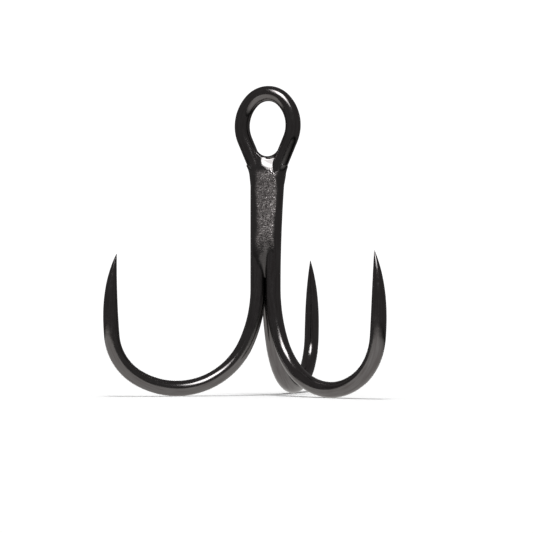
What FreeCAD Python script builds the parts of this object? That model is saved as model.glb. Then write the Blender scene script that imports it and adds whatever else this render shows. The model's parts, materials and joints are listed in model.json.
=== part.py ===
import FreeCAD, Part
import math
import os

V = FreeCAD.Vector

# A treble hook: one wire bent double makes the left hook, the eye and the right hook, and a single
# wire lies behind its legs and makes the rear hook. Filler metal joins the shanks.
#
# Driving dimensions are in millimetres and degrees. The model is drawn with its three-fold axis on Z
# and the bends standing on z = 0. Every solid is then moved, so that the origin is the centre of the
# eye. X lies in the plane of the eye, the two front hooks are on the -Y side, and Z is up the shank.

wire_radius = 0.75
shank_gap = 0.04            # between neighbouring shanks where their bends begin

# One hook, from the foot of its shank: four arcs, each tangent to the next.
flare_radius = 12.87        # the shank leaves the axis
flare_angle = 24.9
bend_radius = 7.51          # the bottom of the hook
bend_angle = 96.5
heel_radius = 5.18          # the turn up into the arm
heel_angle = 53.6
arm_radius = 50.8           # the arm, which leans back towards the shank and is ground to a point
arm_length = 7.95

# The ground point, which is as long as the arm.
tip_radius = 0.03
grind_power = 2.5           # how late the taper starts: 1 is a plain cone
grind_offset = 0.70         # how much more is ground from the outside than from the inside
grind_stations = 9          # circles that the point is lofted through
grind_crowding = 1.5        # how much closer they stand towards the tip: 1 is evenly spaced

# The eye.
eye_top = 29.60             # height of the wire's centre at the top of the eye
crown_radius = 2.23
crown_angle = 44.2          # each side of the top
shoulder_radius = 3.52
leg_angle = 23.4            # the legs under the eye, from upright
leg_straight = 2.71
throat_radius = 3.33        # the reverse bend where each leg joins the shank

# The rear wire ends under the eye, cut off at a slope.
rear_end = 22.1
rear_slope = 35.0
rear_cap = 0.15             # thickness of the filler over that end

# The filler.
core_bottom = 10.8
front_bottom = 13.1
rear_bottom = 11.6
collar_bottom = 20.7
collar_top = 22.6
collar_proud = 0.09         # how far the collar stands out from the wires at its top
front_proud = 0.03
front_flat = 0.20           # the flat front reaches this far past the centre of each leg
front_edge = 0.45           # and feathers out onto the leg here
groove_depth = 0.10         # from a wire's outermost line down to the hollow of a rear fillet
groove_grip = 70.0          # where a rear fillet meets a wire, from the line between the wires' centres
bead_bite = 0.96            # an edge of a bead is drawn this far out in a wire, then cut off by it
web_radius = 0.60           # the rounded rim of the web under the eye
web_height = 23.45          # the lowest point of the eye's opening
web_root = 0.6              # how far the web reaches down into the collar
web_crest = 1.0             # how far its flat plate reaches up out of the collar

# Blocks that only cut are made larger than what they cut by at least this much.
clear = 1.0

hook_azimuths = {"left": 210.0, "right": 330.0, "rear": 90.0}

# Derived places.
half_spacing = wire_radius + shank_gap / 2
axis_radius = half_spacing / math.cos(math.radians(30))
front_y = -half_spacing * math.tan(math.radians(30))


def direction(azimuth):
    """The level unit vector at an azimuth, counted from +X towards +Y."""
    turn = math.radians(azimuth)
    return V(math.cos(turn), math.sin(turn), 0)


class Path:
    """Tangent arcs and straight runs, drawn one after another in an upright plane.

    A heading is counted from outward, towards up, so -90 is straight down. A bend with a positive
    angle turns from outward towards up.
    """

    def __init__(self, start, azimuth, heading):
        self.point = start
        self.out = direction(azimuth)
        self.heading = math.radians(heading)
        self.runs = []

    def tangent(self):
        return self.out * math.cos(self.heading) + V(0, 0, math.sin(self.heading))

    def normal(self):
        """Points to the side that a positive bend turns to."""
        return V(0, 0, math.cos(self.heading)) - self.out * math.sin(self.heading)

    def axis(self):
        """The line that a positive bend turns about."""
        return self.tangent().cross(self.normal())

    def straight(self, length):
        self.runs.append(("straight", self.point, self.tangent(), length))
        self.point = self.point + self.tangent() * length
        return self

    def bend(self, radius, angle):
        side = math.copysign(1, angle)
        centre = self.point + self.normal() * radius * side
        self.runs.append(("bend", self.point, self.tangent(), centre, self.axis() * side, abs(angle)))
        self.heading += math.radians(angle)
        self.point = centre - self.normal() * radius * side
        return self


def disc(centre, normal, radius):
    return Part.Face(Part.Wire(Part.makeCircle(radius, centre, normal)))


def tube(path):
    """One solid for each run of a path: a cylinder, or a piece of a torus."""
    solids = []
    for run in path.runs:
        face = disc(run[1], run[2], wire_radius)
        if run[0] == "straight":
            solids.append(face.extrude(run[2] * run[3]))
        else:
            solids.append(face.revolve(run[3], run[4], run[5]))
    return solids


def fuse(solids):
    return solids[0].multiFuse(solids[1:]).removeSplitter()


# ---- the hooks ----

# The bend's lowest point stands on z = 0, which fixes the height of the foot of the shank.
flare_drop = flare_radius * math.sin(math.radians(flare_angle))
bend_drop = bend_radius * (1 - math.cos(math.radians(90 - flare_angle)))
foot_height = wire_radius + flare_drop + bend_drop


def hook_path(side):
    """The bend of one hook, from the foot of its shank to the foot of its arm."""
    azimuth = hook_azimuths[side]
    foot = direction(azimuth) * axis_radius + V(0, 0, foot_height)
    path = Path(foot, azimuth, -90)
    path.bend(flare_radius, flare_angle)
    path.bend(bend_radius, bend_angle)
    path.bend(heel_radius, heel_angle)
    return path


def ground_point(arm):
    """The tapering arm, lofted through circles from the full wire to the tip."""
    arm_angle = math.degrees(arm_length / arm_radius)
    circles = []
    for station in range(grind_stations):
        along = 1 - (1 - station / (grind_stations - 1)) ** grind_crowding
        place = Path(arm.point, 0, math.degrees(arm.heading))
        place.out = arm.out
        if along > 0:
            place.bend(arm_radius, arm_angle * along)
        radius = wire_radius - (wire_radius - tip_radius) * along ** grind_power
        centre = place.point + place.normal() * grind_offset * (wire_radius - radius)
        circles.append(Part.Wire(Part.makeCircle(radius, centre, place.tangent())))
    return Part.makeLoft(circles, True, False)


def hook_solids(side):
    path = hook_path(side)
    return tube(path) + [ground_point(path)]


# ---- the double wire's loop ----

leg_turn = math.radians(leg_angle)
crown_turn = math.radians(crown_angle)
shoulder_angle = 90 + leg_angle - crown_angle

# Half widths of the eye's centre line, from the eye's own centre line: at its widest, at the top of
# the straight legs, and at their bottom.
eye_half_width = crown_radius * math.sin(crown_turn) + shoulder_radius * (1 - math.sin(crown_turn))
leg_top_x = eye_half_width - shoulder_radius * (1 - math.cos(leg_turn))
leg_bottom_x = leg_top_x - leg_straight * math.sin(leg_turn)

# Heights of the same places.
crown_bottom_z = eye_top - crown_radius * (1 - math.cos(crown_turn))
eye_centre_z = crown_bottom_z - shoulder_radius * math.cos(crown_turn)
leg_top_z = eye_centre_z - shoulder_radius * math.sin(leg_turn)
leg_bottom_z = leg_top_z - leg_straight * math.cos(leg_turn)
throat_z = leg_bottom_z - throat_radius * math.sin(leg_turn)

# The left leg stands upright from the foot of its hook to the throat. That puts the eye a little to
# the right of the shank, and the right leg leans out in one long arc to meet it.
throat_step = throat_radius * (1 - math.cos(leg_turn))
eye_x = leg_bottom_x - throat_step - half_spacing
lean_angle = math.degrees(2 * math.atan(2 * eye_x / (throat_z - foot_height)))
lean_radius = throat_radius + (throat_z - foot_height) / math.sin(math.radians(lean_angle))
eye_centre = V(eye_x, front_y, eye_centre_z)


def loop_path():
    """From the foot of the left shank, up and round the eye, to the foot of the right shank."""
    path = Path(V(-half_spacing, front_y, foot_height), 0, 90)
    path.straight(throat_z - foot_height)
    path.bend(throat_radius, leg_angle)
    path.straight(leg_straight)
    path.bend(shoulder_radius, -shoulder_angle)
    path.bend(crown_radius, -2 * crown_angle)
    path.bend(shoulder_radius, -shoulder_angle)
    path.straight(leg_straight)
    path.bend(throat_radius, leg_angle - lean_angle)
    path.bend(lean_radius, lean_angle)
    return path


def right_leg_x(height):
    """Where the centre of the right leg is, between its foot and the throat."""
    rise = height - foot_height
    return half_spacing + lean_radius - math.sqrt(lean_radius ** 2 - rise ** 2)


def make_double_wire():
    return fuse(hook_solids("left") + tube(loop_path()) + hook_solids("right"))


def above_rear_end(lift):
    """A block that stands on the sloping end of the rear wire, or this far above it."""
    half_width = 2 * wire_radius + half_spacing + clear
    depth = 4 * wire_radius + clear
    block = Part.makeBox(2 * half_width, depth, 2 * clear + collar_top - rear_end, V(-half_width, 0, 0))
    block.rotate(V(0, 0, 0), V(1, 0, 0), -rear_slope)
    block.translate(V(0, axis_radius - wire_radius, rear_end + lift))
    return block


def make_single_wire():
    foot = direction(hook_azimuths["rear"]) * axis_radius + V(0, 0, foot_height)
    shank = disc(foot, V(0, 0, 1), wire_radius).extrude(V(0, 0, rear_end - foot_height))
    return fuse([shank.cut(above_rear_end(0))] + hook_solids("rear"))


# ---- the filler ----

def outline(points):
    return Part.makePolygon(points + [points[0]])


def shank_centres(height):
    left = V(-half_spacing, front_y, height)
    right = V(right_leg_x(height), front_y, height)
    rear = V(0, axis_radius, height)
    return left, right, rear


def heights(bottom):
    """The levels that a bead of filler is lofted through, up to the collar."""
    return [bottom, (bottom + collar_bottom) / 2, collar_bottom]


def make_core(wires):
    """Filler drawn into the three-sided space between the shanks."""
    sections = [outline(list(shank_centres(z))) for z in heights(core_bottom)]
    return Part.makeLoft(sections, True, False).cut(wires)


def front_section(height):
    left, right, rear = shank_centres(height)
    edge = V(front_edge, 0, 0)
    flat = V(front_flat, 0, 0)
    edge_depth = V(0, bead_bite * math.sqrt(wire_radius ** 2 - front_edge ** 2), 0)
    front_depth = V(0, wire_radius + front_proud, 0)
    return outline([
        left,
        left - edge - edge_depth,
        left - flat - front_depth,
        right + flat - front_depth,
        right + edge - edge_depth,
        right,
    ])


def make_front_fillet(wires):
    """Filler in the groove between the two front legs, flush with their fronts."""
    sections = [front_section(z) for z in heights(front_bottom)]
    return Part.makeLoft(sections, True, False).cut(wires)


def groove_section(front, rear):
    """The groove between a front leg and the rear shank, closed by a hollow arc."""
    along = (rear - front).normalize()
    outward = V(along.y, -along.x, 0)
    if outward.x * front.x < 0:
        outward = outward * -1
    grip = math.radians(groove_grip)
    bite = wire_radius * bead_bite
    reach = outward * bite * math.sin(grip)
    step = along * bite * math.cos(grip)
    near = front + step + reach
    far = rear - step + reach
    hollow = (front + rear) * 0.5 + outward * (wire_radius - groove_depth)
    return Part.Wire([
        Part.makeLine(front, near),
        Part.Arc(near, hollow, far).toShape(),
        Part.makeLine(far, rear),
        Part.makeLine(rear, front),
    ])


def make_rear_fillet(wires, side):
    """Filler in the groove between one front leg and the rear shank."""
    sections = []
    for z in heights(rear_bottom):
        left, right, rear = shank_centres(z)
        front = left if side == "left" else right
        sections.append(groove_section(front, rear))
    return Part.makeLoft(sections, True, False).cut(wires)


def hull_section(left, right, rear, radius):
    """The outline of a band pulled tight round three discs."""
    def touch(a, b):
        along = (b - a).normalize()
        off = V(along.y, -along.x, 0) * radius
        return a + off, b + off

    ring = [left, right, rear]
    sides = [touch(ring[i], ring[(i + 1) % 3]) for i in range(3)]
    edges = []
    for i in range(3):
        start, end = sides[i]
        next_start = sides[(i + 1) % 3][0]
        corner = ring[(i + 1) % 3]
        mid = corner + ((end - corner) + (next_start - corner)).normalize() * radius
        edges.append(Part.makeLine(start, end))
        edges.append(Part.Arc(end, mid, next_start).toShape())
    return Part.Wire(edges)


def collar_centres(height):
    """The shank centres where the legs already part under the eye."""
    left, right, rear = shank_centres(height)
    rise = max(height - throat_z, 0)
    turn = math.asin(min(rise / throat_radius, 1))
    out = throat_radius * (1 - math.cos(turn))
    left.x = -half_spacing - out
    right.x = 2 * eye_x + half_spacing + out if rise > 0 else right.x
    return left, right, rear


def make_collar():
    """A band round the three shanks, which thickens from its bottom to its middle."""
    middle = (collar_bottom + collar_top) / 2
    sections = []
    for z, proud in ((collar_bottom, 0), (middle, collar_proud), (collar_top, collar_proud)):
        left, right, rear = collar_centres(z)
        sections.append(hull_section(left, right, rear, wire_radius + proud))
    return Part.makeLoft(sections, True, True)


def make_web():
    """The web under the eye: a rounded rim, tangent to the insides of both legs, and a plate."""
    slant = leg_bottom_x * math.cos(leg_turn) - leg_bottom_z * math.sin(leg_turn)
    rim_z = (slant + web_height - wire_radius) / (1 - math.sin(leg_turn))
    ring_radius = rim_z - web_height + web_radius
    ring = Part.makeTorus(ring_radius, web_radius, V(eye_x, front_y, rim_z), V(0, 1, 0))

    width = 2 * leg_bottom_x
    plate_corner = V(eye_x - leg_bottom_x, front_y - web_radius, collar_top - web_root)
    plate = Part.makeBox(width, 2 * web_radius, web_root + web_crest, plate_corner)
    depth = 2 * (web_radius + clear)
    low_part = Part.makeBox(width, depth, rim_z - collar_top, plate_corner - V(0, clear, 0))
    opening = Part.makeCylinder(ring_radius, depth, V(eye_x, plate_corner.y - clear, rim_z), V(0, 1, 0))
    return ring.common(low_part).fuse(plate.cut(opening))


def make_throat(wires):
    """The collar round the shanks, the web under the eye, and a slope over the rear wire's end."""
    return make_collar().cut(above_rear_end(rear_cap)).fuse(make_web()).cut(wires)


def main():
    os.makedirs("parts", exist_ok=True)
    double_wire = make_double_wire()
    single_wire = make_single_wire()
    wires = [double_wire, single_wire]
    nodes = {
        "double_hook_wire": double_wire,
        "single_hook_wire": single_wire,
        "braze_core": make_core(wires),
        "braze_front_fillet": make_front_fillet(wires),
        "braze_left_fillet": make_rear_fillet(wires, "left"),
        "braze_right_fillet": make_rear_fillet(wires, "right"),
        "braze_throat": make_throat(wires),
    }
    for name, shape in nodes.items():
        shape.translate(eye_centre * -1)
        shape.exportStep("parts/" + name + ".step")
        box = shape.BoundBox
        print(name, shape.isValid(), "solids", len(shape.Solids), "volume", round(shape.Volume, 3),
              "box", [round(v, 3) for v in (box.XMin, box.YMin, box.ZMin, box.XMax, box.YMax, box.ZMax)])


main()
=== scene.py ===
import json
import math

import bmesh
import bpy
import numpy as np
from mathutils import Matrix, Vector, noise


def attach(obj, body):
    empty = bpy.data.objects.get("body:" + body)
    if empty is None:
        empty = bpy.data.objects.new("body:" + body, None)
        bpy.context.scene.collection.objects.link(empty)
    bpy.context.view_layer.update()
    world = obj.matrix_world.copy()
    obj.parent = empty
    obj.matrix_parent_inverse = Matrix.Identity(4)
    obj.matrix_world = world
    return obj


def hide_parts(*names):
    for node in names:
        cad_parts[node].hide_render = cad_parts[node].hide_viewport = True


# A treble hook in black nickel plate. The two wires and the brazing filler are drawn again here, finer
# than the CAD holds them, on the CAD's own dimensions. Shapes are worked out in millimetres, in the
# hook's own frame: the three-fold axis is Z and the bends stand on z = 0. in_row() puts them in the
# row frame, in metres.

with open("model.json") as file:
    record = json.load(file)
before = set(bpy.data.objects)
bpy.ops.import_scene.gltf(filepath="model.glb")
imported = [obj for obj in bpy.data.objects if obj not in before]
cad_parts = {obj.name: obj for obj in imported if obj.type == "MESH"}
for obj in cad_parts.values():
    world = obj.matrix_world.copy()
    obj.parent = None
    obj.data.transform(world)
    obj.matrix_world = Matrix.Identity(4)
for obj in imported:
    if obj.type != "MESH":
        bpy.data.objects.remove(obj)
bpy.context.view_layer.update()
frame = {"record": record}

MOUNTS = {mount["name"]: Vector(mount["pos_m"]) for mount in frame["record"]["mounts"]}
BASE = MOUNTS["base"]       # on the floor, under the shank's axis
MM = 0.001

# ---- the CAD's driving dimensions, in millimetres and degrees ----

WIRE_RADIUS = 0.75
SHANK_GAP = 0.04
FLARE = (12.87, 24.9)       # each bend is a radius and an angle
BEND = (7.51, 96.5)
HEEL = (5.18, 53.6)
ARM_RADIUS = 50.8
ARM_LENGTH = 7.95
TIP_RADIUS = 0.03
GRIND_POWER = 2.5
GRIND_OFFSET = 0.70
EYE_TOP = 29.60
CROWN = (2.23, 44.2)
SHOULDER_RADIUS = 3.52
LEG_ANGLE = 23.4
LEG_STRAIGHT = 2.71
THROAT_RADIUS = 3.33
REAR_END = 22.1
REAR_SLOPE = 35.0
REAR_CAP = 0.15
COLLAR_BOTTOM = 20.7
COLLAR_TOP = 22.6
WEB_HEIGHT = 23.45
AZIMUTHS = {"left": 210.0, "right": 330.0, "rear": 90.0}

HALF_SPACING = WIRE_RADIUS + SHANK_GAP / 2
AXIS_RADIUS = HALF_SPACING / math.cos(math.radians(30))
FRONT_Y = -HALF_SPACING * math.tan(math.radians(30))


def add_object(name, data):
    thing = bpy.data.objects.new(name, data)
    bpy.context.scene.collection.objects.link(thing)
    return thing


def in_row(points):
    """Points in the hook's own frame, in millimetres, as points in the row frame, in metres."""
    return np.asarray(points) * MM + np.array(BASE)


def step_up(value, low, high):
    """0 below low, 1 above high, and smooth between them. low may be above high."""
    t = np.clip((value - low) / (high - low), 0, 1)
    return t * t * (3 - 2 * t)


# ---- the lines that the wires follow ----

class Path:
    """Tangent arcs and straight runs in an upright plane, kept as closely spaced points.

    A heading is counted from outward, towards up. A positive bend turns from outward towards up.
    """

    SPACING = 0.10          # between points, at most about this, in millimetres
    TURN_STEP = 3           # and in degrees

    def __init__(self, start, azimuth, heading):
        turn = math.radians(azimuth)
        self.out = np.array([math.cos(turn), math.sin(turn), 0.0])
        self.up = np.array([0.0, 0.0, 1.0])
        self.heading = math.radians(heading)
        self.points = [np.array(start, float)]
        self.headings = [self.heading]

    def tangent(self, heading):
        return self.out * math.cos(heading) + self.up * math.sin(heading)

    def normal(self, heading):
        return self.up * math.cos(heading) - self.out * math.sin(heading)

    def straight(self, length):
        start = self.points[-1]
        count = max(2, round(length / self.SPACING))
        for i in range(1, count + 1):
            self.points.append(start + self.tangent(self.heading) * length * i / count)
            self.headings.append(self.heading)
        return self

    def bend(self, radius, angle):
        side = math.copysign(1, angle)
        turn = math.radians(angle)
        centre = self.points[-1] + self.normal(self.heading) * radius * side
        count = max(3, round(radius * abs(turn) / self.SPACING), round(abs(angle) / self.TURN_STEP))
        for i in range(1, count + 1):
            heading = self.heading + turn * i / count
            self.points.append(centre - self.normal(heading) * radius * side)
            self.headings.append(heading)
        self.heading += turn
        return self

    def line(self):
        return np.array(self.points)


FLARE_DROP = FLARE[0] * math.sin(math.radians(FLARE[1]))
BEND_DROP = BEND[0] * (1 - math.cos(math.radians(90 - FLARE[1])))
FOOT_HEIGHT = WIRE_RADIUS + FLARE_DROP + BEND_DROP


def hook_line(side):
    """Centres and radii of one hook's wire, from the foot of its shank to its tip."""
    azimuth = AZIMUTHS[side]
    turn = math.radians(azimuth)
    foot = (AXIS_RADIUS * math.cos(turn), AXIS_RADIUS * math.sin(turn), FOOT_HEIGHT)
    path = Path(foot, azimuth, -90)
    for radius, angle in (FLARE, BEND, HEEL):
        path.bend(radius, angle)
    round_part = len(path.points)
    path.bend(ARM_RADIUS, math.degrees(ARM_LENGTH / ARM_RADIUS))
    centres = path.line()
    along = np.zeros(len(centres))
    along[round_part - 1:] = np.linspace(0, 1, len(centres) - round_part + 1)
    radii = WIRE_RADIUS - (WIRE_RADIUS - TIP_RADIUS) * along ** GRIND_POWER
    normals = np.array([path.normal(heading) for heading in path.headings])
    centres = centres + normals * (GRIND_OFFSET * (WIRE_RADIUS - radii))[:, None]
    return centres, radii


LEG_TURN = math.radians(LEG_ANGLE)
CROWN_TURN = math.radians(CROWN[1])
EYE_HALF_WIDTH = CROWN[0] * math.sin(CROWN_TURN) + SHOULDER_RADIUS * (1 - math.sin(CROWN_TURN))
LEG_TOP_X = EYE_HALF_WIDTH - SHOULDER_RADIUS * (1 - math.cos(LEG_TURN))
LEG_BOTTOM_X = LEG_TOP_X - LEG_STRAIGHT * math.sin(LEG_TURN)
EYE_CENTRE_Z = EYE_TOP - CROWN[0] * (1 - math.cos(CROWN_TURN)) - SHOULDER_RADIUS * math.cos(CROWN_TURN)
LEG_TOP_Z = EYE_CENTRE_Z - SHOULDER_RADIUS * math.sin(LEG_TURN)
LEG_BOTTOM_Z = LEG_TOP_Z - LEG_STRAIGHT * math.cos(LEG_TURN)
THROAT_Z = LEG_BOTTOM_Z - THROAT_RADIUS * math.sin(LEG_TURN)
EYE_X = LEG_BOTTOM_X - THROAT_RADIUS * (1 - math.cos(LEG_TURN)) - HALF_SPACING
LEAN_ANGLE = math.degrees(2 * math.atan(2 * EYE_X / (THROAT_Z - FOOT_HEIGHT)))
LEAN_RADIUS = THROAT_RADIUS + (THROAT_Z - FOOT_HEIGHT) / math.sin(math.radians(LEAN_ANGLE))


def loop_line():
    """From the foot of the left shank, up and round the eye, to the foot of the right shank."""
    path = Path((-HALF_SPACING, FRONT_Y, FOOT_HEIGHT), 0, 90)
    path.straight(THROAT_Z - FOOT_HEIGHT)
    path.bend(THROAT_RADIUS, LEG_ANGLE)
    path.straight(LEG_STRAIGHT)
    path.bend(SHOULDER_RADIUS, CROWN[1] - 90 - LEG_ANGLE)
    path.bend(CROWN[0], -2 * CROWN[1])
    path.bend(SHOULDER_RADIUS, CROWN[1] - 90 - LEG_ANGLE)
    path.straight(LEG_STRAIGHT)
    path.bend(THROAT_RADIUS, LEG_ANGLE - LEAN_ANGLE)
    path.bend(LEAN_RADIUS, LEAN_ANGLE)
    return path.line()


# ---- sweeping a wire ----

SIDES = 64                  # of each ring of the tube
NOSE_TURNS = (25, 50, 72, 88)
DRAW_STRETCH = 0.06
LONG_WAVES, SHORT_WAVES = 0.8, 3.2      # of the bending and grinding marks, in waves per millimetre
RIPPLE = 0.003
POINT_RIPPLE = 0.016        # on the ground points
POINT_SIZES = (0.97, 0.60)  # the wire's size where those marks begin, and where they are deepest


def unit(vectors):
    return vectors / np.linalg.norm(vectors, axis=-1, keepdims=True)


def ring_frames(centres):
    """Two directions across the wire at each of its points, carried along without twisting."""
    tangents = unit(np.gradient(centres, axis=0))
    askew = (0.3, 0.5, 0.8)     # any direction that isn't a wire's own
    across = np.cross(tangents[0], askew)
    firsts = []
    for tangent in tangents:
        across = across - tangent * np.dot(across, tangent)
        across = across / np.linalg.norm(across)
        firsts.append(across)
    firsts = np.array(firsts)
    return tangents, firsts, np.cross(tangents, firsts)


def round_end(centres, radii, at_start):
    """Adds a round nose to one end of a wire."""
    if at_start:
        centres, radii = round_end(centres[::-1], radii[::-1], False)
        return centres[::-1], radii[::-1]
    ahead = unit(centres[-1] - centres[-2])
    turns = np.radians(NOSE_TURNS)
    nose = centres[-1] + ahead * radii[-1] * np.sin(turns)[:, None]
    return np.vstack([centres, nose]), np.append(radii, radii[-1] * np.cos(turns))


def ripple(points):
    """How far the surface stands out from true round, from -1 to 1: bending and grinding marks."""
    rise = []
    for point in points:
        spot = Vector(point)
        long_wave = noise.noise(spot * LONG_WAVES)
        short_wave = noise.noise(spot * SHORT_WAVES + Vector((7, 3, 1)))
        rise.append(0.5 * long_wave + 0.5 * short_wave)
    return np.array(rise)


def swept_piece(name, centres, radii, flat_end=None):
    """A closed tube through the centres. flat_end is a plane (point, normal) that cuts its upright part.

    Its attribute "draw" is a place on the wire as if it were straight: across it, and a little of along
    it, so that a texture read there runs in lines down the wire.
    """
    tangents, firsts, seconds = ring_frames(centres)
    turns = np.linspace(0, 2 * math.pi, SIDES, endpoint=False)
    outward = (firsts[:, None] * np.cos(turns)[None, :, None]
               + seconds[:, None] * np.sin(turns)[None, :, None])
    rings = centres[:, None] + outward * radii[:, None, None]
    if flat_end:
        point, normal = (np.array(v) for v in flat_end)
        straight = tangents[:, 2] < -0.999
        above = np.maximum((rings[straight] - point) @ normal, 0)
        over = above / (tangents[straight] @ normal)[:, None]
        rings[straight] -= tangents[straight][:, None] * over[:, :, None]
    count = len(centres)
    flat = rings.reshape(-1, 3)
    size = radii / WIRE_RADIUS
    depth = (RIPPLE + (POINT_RIPPLE - RIPPLE) * step_up(size, *POINT_SIZES)) * size
    flat = flat + outward.reshape(-1, 3) * (ripple(flat) * np.repeat(depth, SIDES))[:, None]
    verts = np.vstack([flat, rings[0].mean(0), rings[-1].mean(0)])
    faces = []
    for i in range(count - 1):
        for j in range(SIDES):
            k = (j + 1) % SIDES
            faces.append((i * SIDES + j, i * SIDES + k, (i + 1) * SIDES + k, (i + 1) * SIDES + j))
    last = (count - 1) * SIDES
    for j in range(SIDES):
        k = (j + 1) % SIDES
        faces.append((k, j, count * SIDES))
        faces.append((last + j, last + k, count * SIDES + 1))
    mesh = bpy.data.meshes.new(name)
    mesh.from_pydata(in_row(verts).tolist(), [], faces)

    along = np.concatenate([[0], np.cumsum(np.linalg.norm(np.diff(centres, axis=0), axis=1))])
    draw = np.zeros((len(verts), 3))
    draw[:count * SIDES, 0] = np.tile(np.cos(turns), count) * WIRE_RADIUS
    draw[:count * SIDES, 1] = np.tile(np.sin(turns), count) * WIRE_RADIUS
    draw[:count * SIDES, 2] = np.repeat(along, SIDES) * DRAW_STRETCH
    layer = mesh.attributes.new("draw", "FLOAT_VECTOR", "POINT")
    layer.data.foreach_set("vector", draw.ravel())
    mesh.shade_smooth()
    return add_object(name, mesh)


def make_double_wire():
    left, left_radii = hook_line("left")
    right, right_radii = hook_line("right")
    loop = loop_line()
    centres = np.vstack([left[::-1], loop[1:-1], right])
    radii = np.concatenate([left_radii[::-1], np.full(len(loop) - 2, WIRE_RADIUS), right_radii])
    centres, radii = round_end(centres, radii, True)
    centres, radii = round_end(centres, radii, False)
    return swept_piece("double_wire", centres, radii)


def make_single_wire():
    hook, radii = hook_line("rear")
    count = round((REAR_END - FOOT_HEIGHT) / Path.SPACING)
    shank = np.linspace(hook[0] + (0, 0, REAR_END - FOOT_HEIGHT), hook[0], count)
    centres = np.vstack([shank[:-1], hook])
    radii = np.concatenate([np.full(len(shank) - 1, WIRE_RADIUS), radii])
    centres, radii = round_end(centres, radii, False)
    slope = math.radians(REAR_SLOPE)
    plane = ((0, AXIS_RADIUS - WIRE_RADIUS, REAR_END), (0, math.sin(slope), math.cos(slope)))
    return swept_piece("single_wire", centres, radii, plane)


# ---- the brazing filler ----

LOOP = loop_line()
CROWN_INDEX = int(LOOP[:, 2].argmax())
LEFT_LEG = LOOP[:CROWN_INDEX]
RIGHT_LEG = LOOP[:CROWN_INDEX:-1]


def leg_distance(leg, x, y, z):
    """Distance from the surface of a leg, where x of its centre is known by height."""
    middle = np.interp(z, leg[:, 2], leg[:, 0])
    lean = np.interp(z, leg[1:, 2], np.diff(leg[:, 0]) / np.diff(leg[:, 2]))
    sideways = (x - middle) / np.sqrt(1 + lean ** 2)
    return np.sqrt(sideways ** 2 + (y - FRONT_Y) ** 2) - WIRE_RADIUS


def blend_min(a, b, width):
    """The lower of two distances, with a hollow fillet of this width where they meet."""
    width = np.maximum(width, 1e-6)
    share = np.maximum(width - np.abs(a - b), 0) / width
    return np.minimum(a, b) - share * share * width / 4


def blend_max(a, b, width):
    return -blend_min(-a, -b, width)


# The eye's opening ends below in an arc between its two legs, and the web fills the corner under it.
RIM_Z = ((LEG_BOTTOM_X * math.cos(LEG_TURN) - LEG_BOTTOM_Z * math.sin(LEG_TURN)
          + WEB_HEIGHT - WIRE_RADIUS) / (1 - math.sin(LEG_TURN)))
HOLE_RADIUS = RIM_Z - WEB_HEIGHT

# A pair gives the two ends of a gradual change.
UNDER = 0.008               # where a wire is bare, the filler stays at least this far inside it
DEEP = 0.20                 # how far the filler sinks into a wire where it stops
CORE_DEPTH = 0.50           # the filler isn't drawn deeper inside the wires than this
FILLER_BOTTOM = 10.95
CORE_BOTTOM = 11.0
CORE_SIDES = 1.732          # the slope of the core's two rear sides
DRIFT = 0.18
TOP_DRIFT = 0.02
BARE_FACING = (0.80, 0.97)
BARE_END = (18.6, 20.3)

GROOVE_DEPTH = 0.10
GROOVE_END = (20.3, 21.3)
TONGUE_LEAN = 1.1           # the front bead reaches lower on the left
TONGUE_HALF_WIDTH = 0.8
TONGUE_FILL = (10.3, 15.2)
TONGUE_START = (10.5, 11.8)
REAR_FILL = (11.2, 12.8)
REAR_START = (11.3, 12.2)

COLLAR_PROUD = 0.085
COLLAR_RISE = (20.3, 21.6)
COLLAR_THINNING = 0.8       # the share of it that is missing at the front
COLLAR_FRONT = (0.35, 0.9)
COLLAR_ROUNDING = 0.12
CAP_ROUNDING = 0.5
SKIN = 0.020                # the filler that flowed over the fronts of the legs
SKIN_FRONT = (0.74, 0.90)
SKIN_RISE = (13.0, 15.2)

WEB_EDGE = 0.42             # half the thickness of the web at its rim
WEB_SLOPE = 0.52            # how fast each of its faces slopes out below the rim
WEB_HALF_DEPTH = 0.80       # at most
WEB_BLEND = 0.12
WEB_SPARE = 0.3             # the web is drawn this much too thick in front, and front_depth trims it
WEB_SPARE_REACH = (0.1, 0.5)
WEB_MARGIN = 0.2
RIM_SQUASH = 1.3
RIM_BLEND = 0.1
WEB_BOTTOM = 21.6
WEB_TOP = RIM_Z - 0.75
WEB_FILLET = 0.12
WEB_FILLET_FADE = (WEB_TOP, WEB_TOP - 0.8)
WEB_FILLET_MARGIN = 0.3
WEB_JOIN = 0.2
WEB_JOIN_RISE = (WEB_BOTTOM + 0.2, COLLAR_TOP)

FLUSH = WIRE_RADIUS + 0.03
FLUSH_BLEND = 0.28
RIDGE_X = -0.25
RIDGE_LEFT, RIDGE_RIGHT = -1.0, 1.1
RIDGE_ROUNDING = 0.2
RIDGE_FALL = 0.34
RIDGE_REACH = (0, 0.4)
FRONT_BLEND = 0.05
STEEP = 0.9                 # turns a depth measured straight back from a sloping face into a distance


def left_x(z):
    return np.interp(z, LEFT_LEG[:, 2], LEFT_LEG[:, 0])


def right_x(z):
    return np.interp(z, RIGHT_LEG[:, 2], RIGHT_LEG[:, 0])


def level_width(spacing, depth):
    """The blend that fills the groove between two wires to this depth under their tangent line."""
    return 4 * (np.hypot(spacing / 2, WIRE_RADIUS - depth) - WIRE_RADIUS)


def web_reach(x, z):
    """How far a place is from the eye's opening."""
    return np.hypot(x - EYE_X, z - RIM_Z) - HOLE_RADIUS


def web_depth(reach):
    return WEB_EDGE + WEB_SLOPE * np.maximum(reach - WEB_EDGE / 2, 0)


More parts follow.
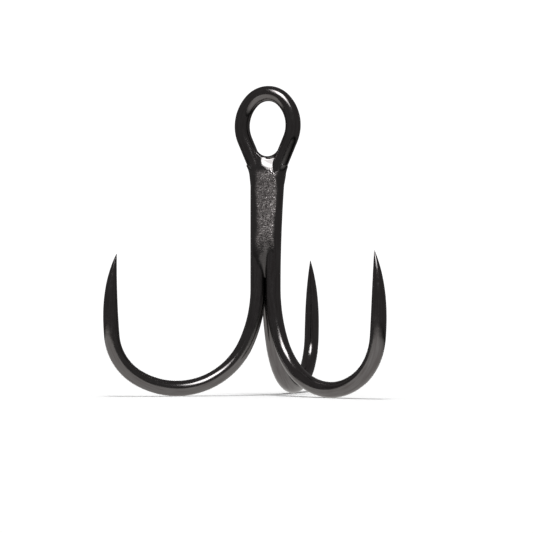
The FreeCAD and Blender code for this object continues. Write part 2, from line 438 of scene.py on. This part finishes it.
def front_depth(x, z):
    """How far the filler's front stands out: flush with the wires, and ridged where it slopes to the eye."""
    reach = web_reach(x, z)
    ridge = np.hypot(np.clip(x, RIDGE_LEFT, RIDGE_RIGHT) - RIDGE_X, RIDGE_ROUNDING) - RIDGE_ROUNDING
    slope = web_depth(reach) - RIDGE_FALL * ridge * step_up(reach, *RIDGE_REACH)
    return blend_min(slope, FLUSH, FLUSH_BLEND)


def outside_legs(x, z, margin):
    """Above 0 where a place is further out than this margin past the centre of either leg."""
    return np.maximum(left_x(z) - margin - x, x - right_x(z) - margin)


def web_distance(x, y, z):
    """The web under the eye: it slopes out on both sides from a narrow rim round the eye's opening."""
    reach = web_reach(x, z)
    inward = np.clip(WEB_EDGE - reach * RIM_SQUASH, 0, WEB_EDGE)
    rolled = np.sqrt(np.maximum(WEB_EDGE ** 2 - inward ** 2, 0))
    half_depth = np.where(reach < WEB_EDGE / 2, rolled, web_depth(reach))
    half_depth = blend_min(half_depth, WEB_HALF_DEPTH, WEB_BLEND)
    half_depth = half_depth + np.where(y < FRONT_Y, WEB_SPARE * step_up(reach, *WEB_SPARE_REACH), 0)
    face = (np.abs(y - FRONT_Y) - half_depth) * STEEP
    rimmed = blend_max(face, -reach, RIM_BLEND)
    return np.maximum(np.maximum(rimmed, outside_legs(x, z, WEB_MARGIN)), WEB_BOTTOM - z)


def webbed_distance(x, y, z, legs):
    """The web with its fillets into the legs."""
    fillet = WEB_FILLET * step_up(z, *WEB_FILLET_FADE)
    webbed = blend_min(web_distance(x, y, z), legs + UNDER, fillet)
    webbed = np.maximum(webbed, np.maximum(z - WEB_TOP, WEB_BOTTOM - z))
    return np.maximum(webbed, outside_legs(x, z, WEB_FILLET_MARGIN))


def wander(x, y, z):
    """A slow, uneven drift, so that no edge of the filler runs level."""
    return np.sin(2.3 * x + 1.1 * z) + 0.6 * np.sin(4.1 * x - 1.7 * y + 0.8) + 0.4 * np.sin(6.7 * x + 2.9 * z)


def bare(x, y, centre_x, centre_y, side, cover):
    """Sinks the filler into the outer side of a wire, except where the collar covers it."""
    turn = math.radians(AZIMUTHS[side])
    across, depth = x - centre_x, y - centre_y
    facing = (across * math.cos(turn) + depth * math.sin(turn)) / np.maximum(np.hypot(across, depth), 1e-6)
    return DEEP * step_up(facing, *BARE_FACING) * (1 - cover)


def beads_distance(x, z, left, right, rear, drift):
    """The three beads in the grooves between the shanks. The front one ends in a slanting tongue."""
    tongue = z + 0.5 * drift - TONGUE_LEAN * np.clip(x, -TONGUE_HALF_WIDTH, TONGUE_HALF_WIDTH)
    width = level_width(right_x(z) - left_x(z), 0) * step_up(tongue, *TONGUE_FILL)
    beads = blend_min(left, right, width) + DEEP * (1 - step_up(tongue, *TONGUE_START))
    depth = GROOVE_DEPTH * (1 - step_up(z, *GROOVE_END))
    fill = step_up(z + drift, *REAR_FILL)
    sunk = DEEP * (1 - step_up(z + drift, *REAR_START))
    for wire, wire_x in ((left, left_x(z)), (right, right_x(z))):
        spacing = np.hypot(wire_x, FRONT_Y - AXIS_RADIUS)
        beads = np.minimum(beads, blend_min(wire, rear, level_width(spacing, depth) * fill) + sunk)
    return beads + UNDER


def proud_height(y, z, drift):
    """How far the filler stands out past the beads: as the collar, and as a skin on the legs' fronts."""
    facing = (FRONT_Y - y) / WIRE_RADIUS
    collar = (COLLAR_PROUD + UNDER) * step_up(z, *COLLAR_RISE)
    collar = collar * (1 - COLLAR_THINNING * step_up(facing, *COLLAR_FRONT))
    skin = (SKIN + UNDER) * step_up(facing, *SKIN_FRONT) * step_up(z + drift, *SKIN_RISE)
    return np.maximum(collar, skin)


def core_distance(x, y, z):
    """The filler between the three shanks: a three-sided prism with its corners at their centres."""
    sides = np.maximum(FRONT_Y - y, CORE_SIDES * np.abs(x) + y - AXIS_RADIUS)
    return np.maximum(sides, np.maximum(CORE_BOTTOM - z, z - COLLAR_BOTTOM))


def filler_distance(x, y, z):
    """Below 0 in the filler: the beads between the shanks, the core, the collar and the web."""
    drift = DRIFT * wander(x, y, z)
    cover = step_up(z, *BARE_END)
    wire_left, wire_right = leg_distance(LEFT_LEG, x, y, z), leg_distance(RIGHT_LEG, x, y, z)
    wire_rear = np.hypot(x, y - AXIS_RADIUS) - WIRE_RADIUS
    left = wire_left + bare(x, y, left_x(z), FRONT_Y, "left", cover)
    right = wire_right + bare(x, y, right_x(z), FRONT_Y, "right", cover)
    rear = wire_rear + bare(x, y, 0, AXIS_RADIUS, "rear", cover)
    beads = beads_distance(x, z, left, right, rear, drift)

    slope = math.radians(REAR_SLOPE)
    above_cap = ((y - AXIS_RADIUS + WIRE_RADIUS) * math.sin(slope)
                 + (z - REAR_END - REAR_CAP) * math.cos(slope))
    top = blend_max(z - COLLAR_TOP - TOP_DRIFT * wander(x, y, z), above_cap, CAP_ROUNDING)
    shanks = blend_max(beads - proud_height(y, z, drift), top, COLLAR_ROUNDING)

    legs = np.minimum(wire_left, wire_right)
    joined = blend_min(shanks, webbed_distance(x, y, z, legs), WEB_JOIN * step_up(z, *WEB_JOIN_RISE))
    front_face = (FRONT_Y - y - front_depth(x, z)) * STEEP
    body = np.minimum(blend_max(joined, front_face, FRONT_BLEND), core_distance(x, y, z))

    above_rear_wire = above_cap + REAR_CAP * math.cos(slope)
    deepest = np.minimum(legs, np.maximum(wire_rear, above_rear_wire)) + CORE_DEPTH
    return np.maximum(np.maximum(body, -deepest), FILLER_BOTTOM - z)


def surface_net(field, low, high, cell):
    """The zero surface of a field, as points and four-sided faces, one point for each cell it crosses.

    Each point is the mean of the places where the surface crosses the edges of its cell.
    """
    axes = [np.arange(a, b, cell) for a, b in zip(low, high)]
    values = field(*np.meshgrid(*axes, indexing="ij"))
    inside = values < 0
    cells = tuple(n - 1 for n in values.shape)
    total = np.zeros(cells + (3,))
    count = np.zeros(cells)

    def corner(offset):
        return tuple(slice(o, o + n) for o, n in zip(offset, cells))

    for axis in range(3):
        others = [a for a in range(3) if a != axis]
        for b in (0, 1):
            for c in (0, 1):
                start = [0, 0, 0]
                start[others[0]], start[others[1]] = b, c
                end = list(start)
                end[axis] = 1
                v0, v1 = values[corner(start)], values[corner(end)]
                crossed = inside[corner(start)] != inside[corner(end)]
                share = np.where(crossed, v0 / np.where(crossed, v0 - v1, 1), 0)
                count += crossed
                total[..., axis] += share
                total[..., others[0]] += crossed * b
                total[..., others[1]] += crossed * c
    used = count > 0
    number = np.full(cells, -1)
    number[used] = np.arange(used.sum())
    places = np.argwhere(used) + total[used] / count[used][:, None]
    points = places * cell + np.array(low)
    faces = []
    for axis in range(3):
        u, v = (axis + 1) % 3, (axis + 2) % 3
        start = [slice(None)] * 3
        end = [slice(None)] * 3
        start[axis] = slice(0, -1)
        end[axis] = slice(1, None)
        first, second = inside[tuple(start)], inside[tuple(end)]
        for entering in (True, False):
            spots = np.argwhere((first != second) & (first == entering))
            spots = spots[(spots[:, u] > 0) & (spots[:, v] > 0)]
            spots = spots[(spots[:, u] < cells[u]) & (spots[:, v] < cells[v])]
            quad = []
            for du, dv in ((1, 1), (0, 1), (0, 0), (1, 0)):
                place = spots.copy()
                place[:, u] -= du
                place[:, v] -= dv
                quad.append(number[place[:, 0], place[:, 1], place[:, 2]])
            quad = np.stack(quad if entering else quad[::-1], axis=1)
            faces.append(quad)
    return points, np.vstack(faces)


def slopes(field, points, reach=0.01):
    """How the field rises along x, y and z at each point."""
    found = []
    for axis in range(3):
        step = np.zeros(3)
        step[axis] = reach
        found.append((field(*(points + step).T) - field(*(points - step).T)) / (2 * reach))
    return np.stack(found, axis=1)


CELL = 0.035                # of the grid that the filler's surface is drawn on
FILLER_LOW, FILLER_HIGH = (-2.3, -1.5, 10.8), (2.8, 1.9, 24.2)      # a box round the filler
SETTLING_STEPS = 2
STIPPLE_DEPTH = 0.034
COARSE_GRAINS, FINE_GRAINS = 3.6, 10.5      # waves per millimetre
CAST_FACING = (0.35, 0.75)
CAST_LEFT = (-0.15, 0.35)   # from the centre of the left leg, inwards
CAST_RIGHT = (-0.50, -0.15)     # from the centre of the right leg, inwards
CAST_RISE = (13.2, 16.0)
CAST_END = (22.3, 21.7)
CAST_REAR_SHARE = 0.6
CAST_REAR_FACING = (0.0, 0.5)
TOE = (15.6, 13.4)


def stipple(points):
    """The pitted skin of the filler, about -1 to 1: grains about 0.1 mm across, deeper to the right."""
    rise = []
    for point in points:
        spot = Vector(point)
        coarse = noise.noise(spot * COARSE_GRAINS)
        fine = noise.noise(spot * FINE_GRAINS + Vector((5, 9, 2)))
        rise.append(0.35 * coarse + 0.65 * fine)
    return np.array(rise) * (0.75 + 0.5 * step_up(points[:, 0], -0.6, 0.8))


def cast_and_glint_share(points, outward):
    """Where the filler is pitted, 1, and where it is as smooth as the wires, 0. Where it is pitted, its
    colour is also painted lighter, as glints and sheen.
    """
    x, y, z = points.T
    drift = 0.10 * wander(x, y, z)
    faces_front = step_up(-outward[:, 1], *CAST_FACING)
    across = step_up(x + drift - left_x(z), *CAST_LEFT) * step_up(right_x(z) - x - drift, *CAST_RIGHT)
    height = step_up(z + 2 * drift, *CAST_RISE) * step_up(z, *CAST_END)
    faces_rear = CAST_REAR_SHARE * step_up(outward[:, 1], *CAST_REAR_FACING)
    return np.maximum(faces_front * across, faces_rear) * height


def toe_shade_share(points):
    """1 at the lower end of the beads, where the filler thins out into the grooves between the wires and its
    plate is painted darker as shade.
    """
    return step_up(points[:, 2], *TOE)


def filler_skin():
    """The whole surface of the filler as one mesh, still in millimetres."""
    points, faces = surface_net(filler_distance, FILLER_LOW, FILLER_HIGH, CELL)
    for _ in range(SETTLING_STEPS):
        slope = slopes(filler_distance, points)
        size = np.maximum((slope ** 2).sum(1), 0.2)
        move = filler_distance(*points.T) / size
        points = points - slope * np.clip(move, -CELL / 2, CELL / 2)[:, None]
    outward = unit(slopes(filler_distance, points) + 1e-9)
    # This share places the pits here, and the painted glints in plated_braze.
    cast_and_glints = cast_and_glint_share(points, outward)
    points = points + outward * (stipple(points) * cast_and_glints * STIPPLE_DEPTH)[:, None]
    mesh = bpy.data.meshes.new("filler")
    mesh.from_pydata(points.tolist(), [], faces.tolist())
    for name, share in (("cast_and_glints", cast_and_glints), ("toe", toe_shade_share(points))):
        layer = mesh.attributes.new(name, "FLOAT", "POINT")
        layer.data.foreach_set("value", share)
    return mesh


def cut_piece(name, skin, planes):
    """The part of the filler inside every plane, closed and in the row frame."""
    shape = bmesh.new()
    shape.from_mesh(skin)
    for place, normal in planes:
        everything = shape.verts[:] + shape.edges[:] + shape.faces[:]
        cut = bmesh.ops.bisect_plane(shape, geom=everything, dist=1e-7, plane_co=place,
                                     plane_no=normal, clear_outer=True)
        edges = [e for e in cut["geom_cut"] if isinstance(e, bmesh.types.BMEdge)]
        bmesh.ops.triangle_fill(shape, edges=edges, use_beauty=True)
        for edge in edges:
            edge.smooth = False
    for vert in shape.verts:
        vert.co = BASE + vert.co * MM
    bmesh.ops.recalc_face_normals(shape, faces=shape.faces[:])
    mesh = bpy.data.meshes.new(name)
    shape.to_mesh(mesh)
    shape.free()
    mesh.shade_smooth()
    return add_object(name, mesh)


def make_filler():
    """One closed piece for each CAD node of the filler; a plane's normal points out of its piece."""
    skin = filler_skin()
    middle = (FOOT_HEIGHT + COLLAR_BOTTOM) / 2
    left = Vector((-HALF_SPACING, FRONT_Y, middle))
    right = Vector((right_x(middle), FRONT_Y, middle))
    rear = Vector((0, AXIS_RADIUS, middle))
    up, back, aside = Vector((0, 0, 1)), Vector((0, 1, 0)), Vector((1, 0, 0))
    collar = Vector((0, 0, COLLAR_BOTTOM))
    out_left = up.cross(rear - left)
    out_right = (rear - right).cross(up)
    cuts = {
        "braze_throat": [(collar, -up)],
        "braze_front": [(collar, up), (left, back)],
        "braze_left": [(collar, up), (left, -back), (left, -out_left), (rear, aside)],
        "braze_right": [(collar, up), (left, -back), (right, -out_right), (rear, -aside)],
        "braze_core": [(collar, up), (left, -back), (left, out_left), (right, out_right)],
    }
    pieces = {name: cut_piece(name, skin, planes) for name, planes in cuts.items()}
    bpy.data.meshes.remove(skin)
    return pieces


# ---- materials ----

def grey(level, warm=0.0):
    """A grey of this brightness, with its red raised by a share of itself."""
    return (level * (1 + warm), level, level)


# Pairs of colours or roughnesses that a pattern runs between.
PLATE = (grey(0.130, 0.05), grey(0.160, 0.02))
STREAKS = (grey(0.112, 0.12), grey(0.190, 0.03))
# Pitted filler: its lighter colours are painted glints and sheen.
PITTED_WITH_PAINTED_GLINTS = (grey(0.18, 0.08), grey(0.60, 0.05))
# Painted shade at the lower end of the beads, in the grooves between the wires.
PAINTED_TOE_SHADE = (grey(0.072, 0.06), grey(0.100, 0.03))
BRIGHT_ROUGHNESS = (grey(0.11), grey(0.20))
DULL_ROUGHNESS = (grey(0.20), grey(0.36))
STREAK_SHARE = 0.6

PLATE_PATCHES = 700         # patterns are in waves per metre
PLATE_HAZE = 2500
DULL_HAZE = 4000
PITTED_PATCHES = 7000
GRAIN = 9000
PITS = 11000
DRAWN_LINES = 9             # this one is in waves per millimetre across the wire

DRAWN_DEPTH = 6.0e-6        # depths are in metres
GRAIN_DEPTH = 1.2e-6
PIT_DEPTH = 1.4e-5


def new_material(name):
    material = bpy.data.materials.new(name)
    material.use_nodes = True
    nodes = material.node_tree.nodes
    return material, nodes, material.node_tree.links, nodes["Principled BSDF"]


def ramp(nodes, links, source, places, colours):
    """Runs from the first colour to the second as source goes from the first place to the second."""
    node = nodes.new("ShaderNodeValToRGB")
    links.new(source, node.inputs["Fac"])
    for element, place, colour in zip(node.color_ramp.elements, places, colours):
        element.position = place
        element.color = colour + (1,)
    return node.outputs["Color"]


def noise_pattern(nodes, links, place, scale, detail):
    texture = nodes.new("ShaderNodeTexNoise")
    texture.inputs["Scale"].default_value = scale
    texture.inputs["Detail"].default_value = detail
    links.new(place, texture.inputs["Vector"])
    return texture.outputs["Fac"]


def fixed_noise(nodes, links, scale, detail):
    """Noise fixed to the object, in the row frame."""
    place = nodes.new("ShaderNodeTexCoord")
    return noise_pattern(nodes, links, place.outputs["Object"], scale, detail)


def read_attribute(nodes, name, output):
    node = nodes.new("ShaderNodeAttribute")
    node.attribute_name = name
    return node.outputs[output]


def mixed(nodes, links, share, first, second):
    """The second colour laid over the first; share is a number or the output of a node."""
    node = nodes.new("ShaderNodeMix")
    node.data_type = "RGBA"
    if isinstance(share, float):
        node.inputs["Factor"].default_value = share
    else:
        links.new(share, node.inputs["Factor"])
    links.new(first, node.inputs["A"])
    links.new(second, node.inputs["B"])
    return node.outputs["Result"]


def bump(nodes, links, height, depth, under=None):
    """Raises the surface by depth, in metres, where height goes from 0 to 1."""
    node = nodes.new("ShaderNodeBump")
    node.inputs["Distance"].default_value = depth
    links.new(height, node.inputs["Height"])
    if under:
        links.new(under, node.inputs["Normal"])
    return node.outputs["Normal"]


def smooth_plate(nodes, links):
    """Colour and roughness of bright black nickel over drawn wire."""
    colour = ramp(nodes, links, fixed_noise(nodes, links, PLATE_PATCHES, 4), (0.3, 0.7), PLATE)
    haze = fixed_noise(nodes, links, PLATE_HAZE, 5)
    return colour, ramp(nodes, links, haze, (0.35, 0.75), BRIGHT_ROUGHNESS)


def plated_wire():
    """Black nickel plate, with the faint lines that drawing leaves along the wire."""
    material, nodes, links, shader = new_material("plated_wire")
    shader.inputs["Metallic"].default_value = 1.0
    colour, roughness = smooth_plate(nodes, links)
    links.new(roughness, shader.inputs["Roughness"])
    lines = noise_pattern(nodes, links, read_attribute(nodes, "draw", "Vector"), DRAWN_LINES, 4)
    streaks = ramp(nodes, links, lines, (0.35, 0.65), STREAKS)
    links.new(mixed(nodes, links, STREAK_SHARE, colour, streaks), shader.inputs["Base Color"])
    drawn = bump(nodes, links, lines, DRAWN_DEPTH)
    grain = bump(nodes, links, fixed_noise(nodes, links, GRAIN, 3), GRAIN_DEPTH, drawn)
    links.new(grain, shader.inputs["Normal"])
    return material


def plated_braze():
    """The same plate over the filler: smooth at its edges, pitted between them with painted glints, and
    darker at its toe as painted shade.
    """
    material, nodes, links, shader = new_material("plated_braze")
    shader.inputs["Metallic"].default_value = 1.0
    cast_and_glints = read_attribute(nodes, "cast_and_glints", "Fac")
    colour, roughness = smooth_plate(nodes, links)
    patches = fixed_noise(nodes, links, PITTED_PATCHES, 5)
    # The pitted filler's colour, painted lighter as glints and sheen.
    pitted = ramp(nodes, links, patches, (0.38, 0.66), PITTED_WITH_PAINTED_GLINTS)
    # Painted shade, darker, for the toe of the beads.
    dark = ramp(nodes, links, patches, (0.3, 0.7), PAINTED_TOE_SHADE)
    dull = ramp(nodes, links, fixed_noise(nodes, links, DULL_HAZE, 4), (0.3, 0.7), DULL_ROUGHNESS)
    upper = mixed(nodes, links, cast_and_glints, colour, pitted)
    toned = mixed(nodes, links, read_attribute(nodes, "toe", "Fac"), upper, dark)
    links.new(toned, shader.inputs["Base Color"])
    links.new(mixed(nodes, links, cast_and_glints, roughness, dull), shader.inputs["Roughness"])
    pits = nodes.new("ShaderNodeMath")
    pits.operation = "MULTIPLY"
    links.new(fixed_noise(nodes, links, PITS, 4), pits.inputs[0])
    links.new(cast_and_glints, pits.inputs[1])
    links.new(bump(nodes, links, pits.outputs["Value"], PIT_DEPTH), shader.inputs["Normal"])
    return material


# ---- camera, floor and light ----

CAMERA_AZIMUTH = 18.0       # from -Y towards +X
CAMERA_DISTANCE = 0.1898
CAMERA_HEIGHT = 0.00601
CAMERA_TILT = 2.0           # looking up
CAMERA_ASIDE = 0.00004
LENS = 130.8
SENSOR = 36.0
CLIP_NEAR, CLIP_FAR = 0.005, 20

LIGHT_DISTANCE = 0.40
AIM_HEIGHT = 0.015          # halfway up the hook
OVERHEAD = (12, 80)         # azimuth and elevation, in degrees
OVERHEAD_STRENGTH = 1.95
OVERHEAD_ANGLE = 15
STUDIO_COLOUR = (1, 0.955, 0.955, 1)
STUDIO_STRENGTH = 0.13

FLOOR_RADIUS = 0.6
FLOOR_WHITE = (0.95, 0.95, 0.95, 1)
DISC_SIDES = 96
GLOW_PLACE = Vector((-0.024, -0.040, 0))
GLOW_RADIUS = 0.11
GLOW_RINGS = 24
GLOW_COLOUR = (1, 0.98, 0.95, 1)
GLOW_STRENGTH = 0.78
GLOW_EDGE = (0.095, 0.045)  # dark beyond the first distance and full within the second
BACKDROP_RADIUS, BACKDROP_STRENGTH = 3.0, 1.1
FILL_RADIUS, FILL_STRENGTH = 2.9, 0.48


def from_front(azimuth, elevation, distance):
    """A place seen from the shank's axis at the floor; azimuth 0 is the front, 90 the right."""
    turn, rise = math.radians(azimuth), math.radians(elevation)
    level = math.cos(rise) * distance
    return BASE + Vector((math.sin(turn) * level, -math.cos(turn) * level, math.sin(rise) * distance))


def make_camera():
    data = bpy.data.cameras.new("camera")
    data.lens = LENS
    data.sensor_width = SENSOR
    data.clip_start, data.clip_end = CLIP_NEAR, CLIP_FAR
    camera = add_object("camera", data)
    turn = math.radians(CAMERA_AZIMUTH)
    aside = Vector((math.cos(turn), math.sin(turn), 0)) * -CAMERA_ASIDE
    camera.location = from_front(CAMERA_AZIMUTH, 0, CAMERA_DISTANCE) + aside + Vector((0, 0, CAMERA_HEIGHT))
    camera.rotation_euler = (math.radians(90 + CAMERA_TILT), 0, turn)
    bpy.context.scene.camera = camera


def stage_object(name, mesh, material):
    mesh.materials.append(material)
    thing = add_object(name, mesh)
    return thing


def disc(name, centre, radius, rings, material):
    """A level disc of concentric rings on the floor."""
    verts = [(centre.x, centre.y, BASE.z)]
    faces = []
    for ring in range(1, rings + 1):
        reach = radius * ring / rings
        for i in range(DISC_SIDES):
            turn = 2 * math.pi * i / DISC_SIDES
            verts.append((centre.x + reach * math.cos(turn), centre.y + reach * math.sin(turn), BASE.z))
    for i in range(DISC_SIDES):
        j = (i + 1) % DISC_SIDES
        faces.append((0, 1 + i, 1 + j))
        for ring in range(1, rings):
            inner, outer = 1 + (ring - 1) * DISC_SIDES, 1 + ring * DISC_SIDES
            faces.append((inner + i, outer + i, outer + j, inner + j))
    mesh = bpy.data.meshes.new(name)
    mesh.from_pydata(verts, [], faces)
    return stage_object(name, mesh, material)


def make_floor():
    """A white, matt floor. The metal mirrors the floor's glow and not the floor itself."""
    material, _, _, shader = new_material("floor")
    shader.inputs["Base Color"].default_value = FLOOR_WHITE
    shader.inputs["Roughness"].default_value = 0.8
    shader.inputs["Specular IOR Level"].default_value = 0.0
    disc("floor", BASE, FLOOR_RADIUS, 1, material).visible_glossy = False


def glowing(name, colour, strength):
    """A material that only gives off light."""
    material, nodes, links, shader = new_material(name)
    nodes.remove(shader)
    glow = nodes.new("ShaderNodeEmission")
    glow.inputs["Color"].default_value = colour
    glow.inputs["Strength"].default_value = strength
    links.new(glow.outputs["Emission"], nodes["Material Output"].inputs["Surface"])
    return material, glow


def make_floor_glow():
    """The lit patch of floor that the plated metal mirrors: bright under the hook, dark far out."""
    material, glow = glowing("floor_glow", GLOW_COLOUR, 1.0)
    lit = read_attribute(material.node_tree.nodes, "lit", "Fac")
    material.node_tree.links.new(lit, glow.inputs["Strength"])
    centre = BASE + GLOW_PLACE
    patch = disc("floor_glow", centre, GLOW_RADIUS, GLOW_RINGS, material)
    layer = patch.data.attributes.new("lit", "FLOAT", "POINT")
    for vert, item in zip(patch.data.vertices, layer.data):
        item.value = float(GLOW_STRENGTH * step_up((vert.co - centre).length, *GLOW_EDGE))
    patch.visible_camera = False
    patch.visible_diffuse = False
    patch.visible_shadow = False


def dome(name, radius, strength):
    """A glowing sphere all round, which the metal doesn't mirror and which casts no shadow."""
    shape = bmesh.new()
    bmesh.ops.create_icosphere(shape, subdivisions=4, radius=radius)
    mesh = bpy.data.meshes.new(name)
    shape.to_mesh(mesh)
    shape.free()
    thing = stage_object(name, mesh, glowing(name, (1, 1, 1, 1), strength)[0])
    thing.visible_glossy = False
    thing.visible_shadow = False
    return thing


def make_backdrop():
    """A white wall all round, and a dimmer one that only lights the floor."""
    dome("backdrop", BACKDROP_RADIUS, BACKDROP_STRENGTH).visible_diffuse = False
    dome("floor_fill", FILL_RADIUS, FILL_STRENGTH).visible_camera = False


def softbox(name, azimuth, elevation, width, height, radiance):
    """A bright panel that faces the hook and lights nothing but what mirrors it."""
    data = bpy.data.lights.new(name, "AREA")
    data.shape = "RECTANGLE"
    data.size, data.size_y = width, height
    data.energy = radiance * 4 * width * height
    light = add_object(name, data)
    light.location = from_front(azimuth, elevation, LIGHT_DISTANCE)
    aim = from_front(0, 90, AIM_HEIGHT) - light.location
    light.rotation_euler = aim.to_track_quat("-Z", "Y").to_euler()
    light.visible_diffuse = False


def make_floor_light():
    """A far, soft light from overhead, which the metal doesn't mirror."""
    data = bpy.data.lights.new("overhead", "SUN")
    data.energy = OVERHEAD_STRENGTH
    data.angle = math.radians(OVERHEAD_ANGLE)
    light = add_object("overhead", data)
    light.location = from_front(*OVERHEAD, LIGHT_DISTANCE)
    light.rotation_euler = (BASE - light.location).to_track_quat("-Z", "Y").to_euler()
    light.visible_glossy = False


def make_light():
    """A key panel that is brightest at its middle, a light for the floor, and a dim studio all round."""
    softbox("key_wide", azimuth=13, elevation=48, width=0.24, height=0.21, radiance=2.5)
    softbox("key", azimuth=13, elevation=49, width=0.16, height=0.14, radiance=5.5)
    make_floor_light()
    world = bpy.data.worlds.new("studio")
    world.use_nodes = True
    background = world.node_tree.nodes["Background"]
    background.inputs["Color"].default_value = STUDIO_COLOUR
    background.inputs["Strength"].default_value = STUDIO_STRENGTH
    bpy.context.scene.world = world
    bpy.context.scene.view_settings.view_transform = "Standard"


# ---- putting it together ----

make_camera()
make_floor()
make_floor_glow()
make_backdrop()
make_light()

WIRE, BRAZE = plated_wire(), plated_braze()
double_wire = make_double_wire()
single_wire = make_single_wire()
filler = make_filler()
stands_for = {
    "braze_throat": "braze_throat",
    "braze_front": "braze_front_fillet",
    "braze_left": "braze_left_fillet",
    "braze_right": "braze_right_fillet",
    "braze_core": "braze_core",
}
pieces = [(double_wire, "double_hook_wire", WIRE, "plated_wire"),
          (single_wire, "single_hook_wire", WIRE, "plated_wire")]
pieces += [(filler[name], node, BRAZE, "plated_braze") for name, node in stands_for.items()]
for piece, node, material, slot in pieces:
    piece.data.materials.append(material)
    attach(piece, "root")
    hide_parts(node)
